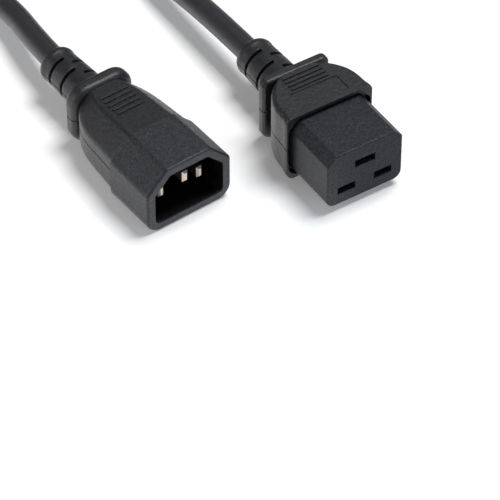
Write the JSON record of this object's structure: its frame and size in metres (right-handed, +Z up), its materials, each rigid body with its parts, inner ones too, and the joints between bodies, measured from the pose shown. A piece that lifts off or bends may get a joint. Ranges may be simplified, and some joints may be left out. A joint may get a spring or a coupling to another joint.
{
  "type": "c19 power connector on a c14 jumper cord",
  "caption": "Straight moulded C19 appliance connector with slotted mating nose and strain relief, on a round black cord that ends in a moulded C14 plug.",
  "frame": {"origin": "on the surface that the connector rests on, under the middle of the C19 connector's length and width", "axes": "+Y along the C19 connector from its mating face towards its cord, +Z up with the earth slot uppermost, +X completes a right-handed frame"},
  "size_m": [0.1094, 0.2579, 0.0247],
  "materials": {
    "grip_pvc": "matt moulded PVC with a fine spark texture",
    "carrier_plastic": "matt moulded nylon, smoother than the grip",
    "shroud_plastic": "satin moulded nylon",
    "inner_plastic": "plain first-shot moulding",
    "cord_jacket": "round flexible PVC jacket, satin",
    "tie_strap": "thin black strap",
    "brass": "stamped and folded strip",
    "plated_pin": "nickel-plated brass blade",
    "copper": "stranded copper drawn as one round bar",
    "line_insulation": "brown",
    "neutral_insulation": "light blue",
    "earth_insulation": "green and yellow"
  },
  "bodies": {
    "root": {"connector_nose": "carrier_plastic", "connector_inner_mould": "inner_plastic", "connector_grip": "grip_pvc", "plug_shroud": "shroud_plastic", "plug_inner_mould": "inner_plastic", "plug_grip": "grip_pvc", "connector_cord": "cord_jacket", "plug_cord": "cord_jacket", "cord_coil": "cord_jacket", "coil_tie_left": "tie_strap", "coil_tie_right": "tie_strap", "line_contact": "brass", "line_conductor": "copper", "line_core": "line_insulation", "plug_line_pin": "plated_pin", "plug_line_conductor": "copper", "plug_line_core": "line_insulation", "neutral_contact": "brass", "neutral_conductor": "copper", "neutral_core": "neutral_insulation", "plug_neutral_pin": "plated_pin", "plug_neutral_conductor": "copper", "plug_neutral_core": "neutral_insulation", "earth_contact": "brass", "earth_conductor": "copper", "earth_core": "earth_insulation", "plug_earth_pin": "plated_pin", "plug_earth_conductor": "copper", "plug_earth_core": "earth_insulation"}
  },
  "joints": []
}
